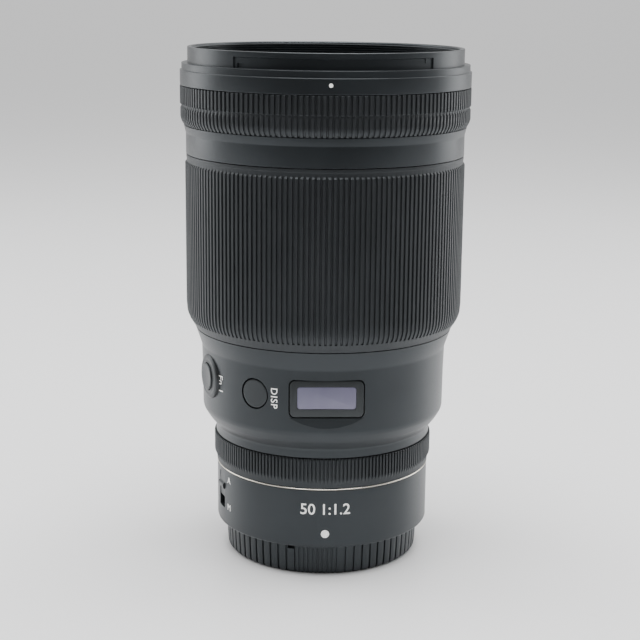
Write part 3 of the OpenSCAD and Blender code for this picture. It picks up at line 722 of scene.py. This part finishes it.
def build_rear_cap():
    skin = build_cap_skin()
    lug_span, steps = 38, 24
    root, tip, z0, z1 = 29.2, 27.55, 6.1, 7.7
    for k in range(4):
        azimuths = [90 * k + lug_span * (s / steps - 0.5) for s in range(steps + 1)]
        loops = [[spot(az, root, z0), spot(az, tip, z0), spot(az, tip, z1), spot(az, root, z1)]
                 for az in azimuths]
        mesh_piece(f"cap_lug_{k + 1}", *stacked(loops), PLASTIC, "rear_cap", "cap_black")
    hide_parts("rear_cap")


def build_name_ring():
    """Stepped black cone between the thread and the front element."""
    steps = 9
    low_r, low_z, high_r = 32.7, 146.2, 40.0
    step_r, step_z = high_r - low_r, NAME_Z1 - low_z
    outline = []
    for i in range(steps):
        lower, upper = i / steps, (i + 1) / steps
        r = low_r + step_r * lower
        outline += [(r, low_z + step_z * lower, 0.04), (r + 0.12, low_z + step_z * upper, 0.04)]
    outline += [(high_r, NAME_Z1, 0.04), (NAME_R, NAME_Z1, 0.1), (NAME_R, 150.8),
                (38.8, 150.8), (low_r, low_z - 0.9)]
    skin = revolve("name_ring_skin", rounded(outline, 0.04, 2), BAFFLE, "housing",
                   "baffle_black")
    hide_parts("name_ring")


# ---------------------------------------------------------------- buttons, display and switch

BUTTON_BACK = 35.3    # radius at which the buttons end inside the barrel


def domed_disc(az, z, d, surface, edge=0.3):
    """Round button. surface(x, y) gives its face's distance from the axis."""
    place = outward(az, z)
    circle = circle_points(2)
    rings, edge_steps = 10, 4

    def loop(rho, height):
        return [place @ Vector((x * rho, y * rho, height(x * rho, y * rho))) for x, y in circle]

    loops = [loop(d / 2, lambda x, y: BUTTON_BACK)]
    for k in range(edge_steps + 1):
        a = math.radians(90 * k / edge_steps)
        drop = edge - edge * math.sin(a)
        loops.append(loop(d / 2 - edge + edge * math.cos(a),
                          lambda x, y: surface(x, y) - drop))
    for k in range(1, rings):
        loops.append(loop((d / 2 - edge) * (1 - k / rings), surface))
    return stacked(loops)


def display_button_face(x, y):
    """Face that follows the barrel, sunk by a tenth of a millimetre."""
    return math.sqrt((MID_R - 0.12) ** 2 - x * x)


def function_button_face(x, y):
    """Flat face with a shallow dish."""
    return MID_R + 1.12 + 0.012 * (x * x + y * y)


def build_buttons():
    disp_z = middle_z(*box_mm("disp_button"))
    piece = mesh_piece("disp_button_cap",
                       *domed_disc(DISP_AZ, disp_z, DISP_D, display_button_face),
                       BUTTON, "disp_button", "button_black")
    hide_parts("disp_button")
    fn_z = middle_z(*box_mm("fn_bezel"))
    piece = mesh_piece("fn_button_cap",
                       *domed_disc(FN_AZ, fn_z, FN_D, function_button_face, 0.35),
                       BUTTON, "fn_button", "button_black")
    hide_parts("fn_button")
    # Bezel: a ring with a raised lip round the button and a sloping outside
    place = outward(FN_AZ, fn_z)
    outer, bore, back, columns = FN_BEZEL_D / 2, FN_D / 2 + 0.17, 36.1, 128
    section = rounded([(bore, back), (outer, back), (outer, MID_R + 0.3, 0.2),
                       (outer - 0.9, MID_R + 0.75, 0.4), (bore + 0.75, MID_R + 0.6, 0.3),
                       (bore + 0.35, MID_R + 0.8, 0.15), (bore, MID_R + 0.75, 0.1)], 0.1)
    verts = [place @ Vector((r * x, r * y, h))
             for x, y in circle_points(2, columns) for r, h in section]
    bezel = mesh_piece("fn_bezel_ring", verts, ring_faces(columns, len(section)),
                       FRAME_BLACK, "housing", "frame_black")
    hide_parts("fn_bezel")


def plate(w, h, r, back, face, edge, z):
    """Rounded plate at the front, standing out from back to face, with a soft front edge."""
    place = outward(0, z)
    edge_steps = 3
    loops = [[place @ Vector((x, y, back)) for x, y in rounded_rectangle(w, h, r)]]
    for k in range(edge_steps + 1):
        a = math.radians(90 * k / edge_steps)
        inset = edge * (1 - math.cos(a))
        height = face - edge + edge * math.sin(a)
        shape = rounded_rectangle(w - 2 * inset, h - 2 * inset, max(r - inset, 0.05))
        loops.append([place @ Vector((x, y, height)) for x, y in shape])
    return stacked(loops)


def build_display():
    low, high = box_mm("display_frame")
    face = -low.y
    pane_z = middle_z(*box_mm("display_window"))
    pane_w, pane_h, gap = 17.6, 6.8, 0.1
    bezel = mesh_piece("display_bezel",
                       *plate(high.x - low.x, high.z - low.z, 1.6, face - 1.5, face, 0.25,
                              middle_z(low, high)),
                       FRAME_BLACK, "housing", "frame_black")
    opening = rounded_rectangle(pane_w + gap, pane_h + gap, 0.9)
    cut_out(bezel, [hole(0, pane_z, opening, face - 4, face + 3)])
    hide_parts("display_frame")
    pane = mesh_piece("display_pane",
                      *plate(pane_w, pane_h, 0.85, face - 0.9, face - 0.12, 0.12, pane_z),
                      SCREEN, "housing", "display_glass")
    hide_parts("display_window")


def build_switch():
    """Slider: a flat plate with a raised thumb ridge, in its upper place."""
    low, high = box_mm("switch_knob")
    place = outward(SWITCH_AZ, middle_z(low, high))
    half_h = (high.z - low.z) / 2
    width, back = 4.7, 32.5
    # (height on the slider, distance from the axis)
    profile = [(-half_h, back), (-half_h, 33.55), (-1.15, 33.65), (-0.8, 34.3), (0.55, 34.45),
               (1.0, 33.75), (half_h, 33.6), (half_h, back)]
    soft = rounded(profile, 0.3, 4)
    loops = [[place @ Vector((x, h, r)) for h, r in soft] for x in (-width / 2, width / 2)]
    piece = mesh_piece("switch_slider", *stacked(loops), BUTTON, "mode_switch", "button_black")
    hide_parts("switch_knob")


# ---------------------------------------------------------------- lettering and dots

LETTER_HALF = 0.03     # half the letters' thickness
LETTER_TOP = 0.035     # how far the letters' faces stand out
LETTER_STRIP = 0.35    # width of the strips that the letters are cut into


def lettering(name, text, size, az, z, r, turn=0.0, bold=0.0, spacing=1.0):
    """White filled lettering wrapped round the barrel."""
    curve = bpy.data.curves.new(name, "FONT")
    curve.body = text
    curve.size = size
    curve.offset = bold * size
    curve.space_character = spacing
    curve.align_x = "CENTER"
    curve.align_y = "CENTER"
    curve.extrude = LETTER_HALF
    curve.resolution_u = 4
    holder = add_object(name + "_curve", curve)
    bpy.context.view_layer.update()
    graph = bpy.context.evaluated_depsgraph_get()
    mesh = bpy.data.meshes.new_from_object(holder.evaluated_get(graph))
    bpy.data.objects.remove(holder)
    work = bmesh.new()
    work.from_mesh(mesh)
    bmesh.ops.remove_doubles(work, verts=work.verts, dist=1e-4)
    bmesh.ops.rotate(work, verts=work.verts,
                     matrix=Matrix.Rotation(math.radians(turn), 3, "Z"))
    # Narrow strips keep straight strokes from dipping under the round skin
    reach = max(abs(vertex.co.x) for vertex in work.verts)
    strips = math.ceil(reach / LETTER_STRIP)
    for k in range(-strips, strips + 1):
        bmesh.ops.bisect_plane(work, geom=work.verts[:] + work.edges[:] + work.faces[:],
                               dist=1e-5, plane_co=(k * LETTER_STRIP, 0, 0),
                               plane_no=(1, 0, 0))
    for vertex in work.verts:
        angle = az + math.degrees(vertex.co.x / r)
        height = r + LETTER_TOP - LETTER_HALF + vertex.co.z
        vertex.co = spot(angle, height, z + vertex.co.y) * MM
    work.to_mesh(mesh)
    work.free()
    return finish_piece(add_object(name, mesh), WHITE, "housing", 30)


def dot(name, az, z, r, d):
    """Round spot of paint that follows the barrel, with a soft edge."""
    points = circle_points(d, 40)
    place = outward(az, z)
    loops = []
    for inset, height in ((0, -0.15), (0, 0.02), (0.06, 0.05)):
        scale = 1 - 2 * inset / d
        loops.append([place @ Vector((x * scale, y * scale,
                      math.sqrt(r * r - (x * scale) ** 2) + height)) for x, y in points])
    return mesh_piece(name, *stacked(loops), WHITE, "housing", None)


def build_marks():
    """White marks. No slot of the record stands for their paint, so they name none."""
    dot("hood_dot", 0, 150.95, BAND_R, 1.15)
    dot("mount_dot", 0, 14.55, REAR_R - 0.02, 2.5)
    lettering("focal_length_mark", "50 1:1.2", 4.85, 0, 22.3, REAR_R, bold=0.005)
    lettering("display_button_mark", "DISP", 3.0, -24.2, 58.0, MID_R, -90, 0.004, 1.12)
    lettering("function_button_mark", "Fn 1", 3.2, -56.6, 58.5, MID_R, -90, spacing=1.05)
    lettering("auto_mark", "A", 2.9, MARK_AZ, 25.5, REAR_R)
    lettering("manual_mark", "M", 2.9, MARK_AZ, 16.6, REAR_R)


# ---------------------------------------------------------------- materials on CAD nodes

CAD_LOOKS = {
    "core_barrel": BAFFLE, "mount_gasket": GASKET, "switch_plate": BAFFLE,
    "contact_block": BAFFLE, "rear_baffle": BAFFLE, "front_cell": BAFFLE, "rear_cell": BAFFLE,
    "iris_base": BAFFLE, "iris_cover": BAFFLE, "focus_cell_a": BAFFLE, "focus_cell_b": BAFFLE,
    "iris_rotor": STEEL,
    "guide_rods": STEEL, "focus_motors": STEEL, "button_switches": STEEL, "mount_screws": STEEL,
    "mount_flange": CHROME, "contact_pins": GOLD, "main_board": BOARD, "display_panel": BOARD,
    "element_1": GLASS_FRONT,
}


def look_of(name):
    """Material for a CAD node that stays visible, or None to leave it as it is."""
    if name.startswith("iris_blade"):
        return BLADE
    if name.startswith(("element_", "doublet_")) and name not in CAD_LOOKS:
        return GLASS_INNER
    return CAD_LOOKS.get(name)


def dress_cad_nodes():
    for name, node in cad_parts.items():
        look = look_of(name)
        if look is not None:
            node.data.materials.clear()
            node.data.materials.append(look)


# ---------------------------------------------------------------- stage, light and camera

# Dark in front of the lens and bright behind it, so that its sides catch the light
WORLD_GLOW = [(0.0, 0.04), (0.25, 0.09), (0.5, 0.28), (0.75, 0.46), (1.0, 0.85)]
CEILING_GLOW = [(0.0, 0.0), (0.3, 0.12), (1.0, 1.0)]
# Brightness of the card by how straight in front it lies: 0 at the sides, 1 in front
FLAG_GLOW = [(0.0, 0.75), (0.45, 0.45), (0.65, 0.24), (0.82, 0.10), (1.0, 0.04)]
SIDE_POWER = 4       # watts
TOP_POWER = 14
FLOOR_SIZE = 120     # metres, so that the horizon looks endless


def stage_sheet(name, x0, y0, x1, y1, z, material):
    """Level rectangle in metres with its material."""
    mesh = bpy.data.meshes.new(name)
    mesh.from_pydata([(x0, y0, z), (x1, y0, z), (x1, y1, z), (x0, y1, z)], [], [(0, 1, 2, 3)])
    mesh.materials.append(material)
    sheet = add_object(name, mesh)
    return sheet


def area_light(name, size, power, location, target):
    light = bpy.data.lights.new(name, "AREA")
    light.shape = "RECTANGLE"
    light.size, light.size_y = size
    light.energy = power
    lamp = add_object(name, light)
    lamp.location = location
    aim = Vector(target) - Vector(location)
    lamp.rotation_euler = aim.to_track_quat("-Z", "Y").to_euler()


def build_floor():
    half = FLOOR_SIZE / 2
    material, _, _, shader = new_material("floor")
    shader.inputs["Base Color"].default_value = (0.86, 0.86, 0.865, 1)
    shader.inputs["Roughness"].default_value = 0.35
    stage_sheet("floor", -half, -half, half, half, 0, material)


def build_world():
    world = bpy.data.worlds.new("studio")
    world.use_nodes = True
    nodes, links = world.node_tree.nodes, world.node_tree.links
    coords = nodes.new("ShaderNodeTexCoord")
    split = nodes.new("ShaderNodeSeparateXYZ")
    links.new(coords.outputs["Generated"], split.inputs["Vector"])
    shift = nodes.new("ShaderNodeMapRange")
    shift.inputs["From Min"].default_value = -1
    shift.inputs["From Max"].default_value = 1
    links.new(split.outputs["Y"], shift.inputs["Value"])
    both = nodes.new("ShaderNodeMixRGB")
    both.blend_type = "ADD"
    both.inputs["Fac"].default_value = 1.0
    links.new(ramp(nodes, links, shift.outputs["Result"], WORLD_GLOW), both.inputs["Color1"])
    links.new(ramp(nodes, links, split.outputs["Z"], CEILING_GLOW), both.inputs["Color2"])
    links.new(both.outputs["Color"], nodes["Background"].inputs["Color"])
    bpy.context.scene.world = world


def flag_material():
    """Glow that depends only on the direction in which the card is seen from the lens."""
    mat = bpy.data.materials.new("flag")
    mat.use_nodes = True
    nodes, links = mat.node_tree.nodes, mat.node_tree.links
    nodes.remove(nodes["Principled BSDF"])
    coords = nodes.new("ShaderNodeTexCoord")
    unit = nodes.new("ShaderNodeVectorMath")
    unit.operation = "NORMALIZE"
    links.new(coords.outputs["Object"], unit.inputs[0])
    split = nodes.new("ShaderNodeSeparateXYZ")
    links.new(unit.outputs["Vector"], split.inputs["Vector"])
    front = nodes.new("ShaderNodeMath")
    front.operation = "MULTIPLY"
    front.inputs[1].default_value = -1.0
    links.new(split.outputs["Y"], front.inputs[0])
    glow = nodes.new("ShaderNodeEmission")
    links.new(ramp(nodes, links, front.outputs["Value"], FLAG_GLOW), glow.inputs["Color"])
    links.new(glow.outputs["Emission"], nodes["Material Output"].inputs["Surface"])
    return mat


def build_flag():
    """Dark card on the floor in front, which keeps the middle of the barrel deep black.

    Only reflections see it.
    """
    card = stage_sheet("flag", -4, -4, 4, -0.27, 0.002, flag_material())
    card.visible_camera = False
    card.visible_diffuse = False
    card.visible_shadow = False


def build_stage():
    build_floor()
    build_world()
    build_flag()
    side_box, top_box = (0.45, 0.9), (0.8, 0.6)
    area_light("left_box", side_box, SIDE_POWER, (-0.7, 0.35, 0.38), (0, 0, 0.09))
    area_light("right_box", side_box, SIDE_POWER, (0.7, 0.35, 0.38), (0, 0, 0.09))
    area_light("top_box", top_box, TOP_POWER, (0, -0.06, 1.0), (0, 0, 0.05))


CAMERA_DISTANCE = 461.6    # from the lens's axis
CAMERA_HEIGHT = 179.3
CAMERA_AZ = -1.93
CAMERA_PITCH = 12.86       # degrees downwards
CAMERA_ROLL = 0.58
FOCAL_LENGTH = 83.53
SENSOR_WIDTH = 36
CAMERA_SHIFT = -0.0053     # share of the picture's width


def build_camera():
    data = bpy.data.cameras.new("camera")
    data.lens = FOCAL_LENGTH
    data.sensor_width = SENSOR_WIDTH
    data.shift_x = CAMERA_SHIFT
    data.clip_start = 0.01
    camera = add_object("camera", data)
    place = spot(CAMERA_AZ, CAMERA_DISTANCE, CAMERA_HEIGHT) * MM
    turn = (Matrix.Rotation(math.radians(CAMERA_AZ), 4, "Z")
            @ Matrix.Rotation(math.radians(90 - CAMERA_PITCH), 4, "X")
            @ Matrix.Rotation(math.radians(CAMERA_ROLL), 4, "Z"))
    camera.matrix_world = Matrix.Translation(place) @ turn
    bpy.context.scene.camera = camera


# ---------------------------------------------------------------- build everything

build_front_ring()
build_filter_thread()
build_name_ring()
build_grip_ring()
build_front_barrel()
build_focus_ring()
build_mid_barrel()
build_control_ring()
build_trim_ring()
build_rear_barrel()
build_rear_cap()
build_buttons()
build_display()
build_switch()
build_marks()
dress_cad_nodes()
build_stage()
build_camera()

bpy.context.view_layer.update()
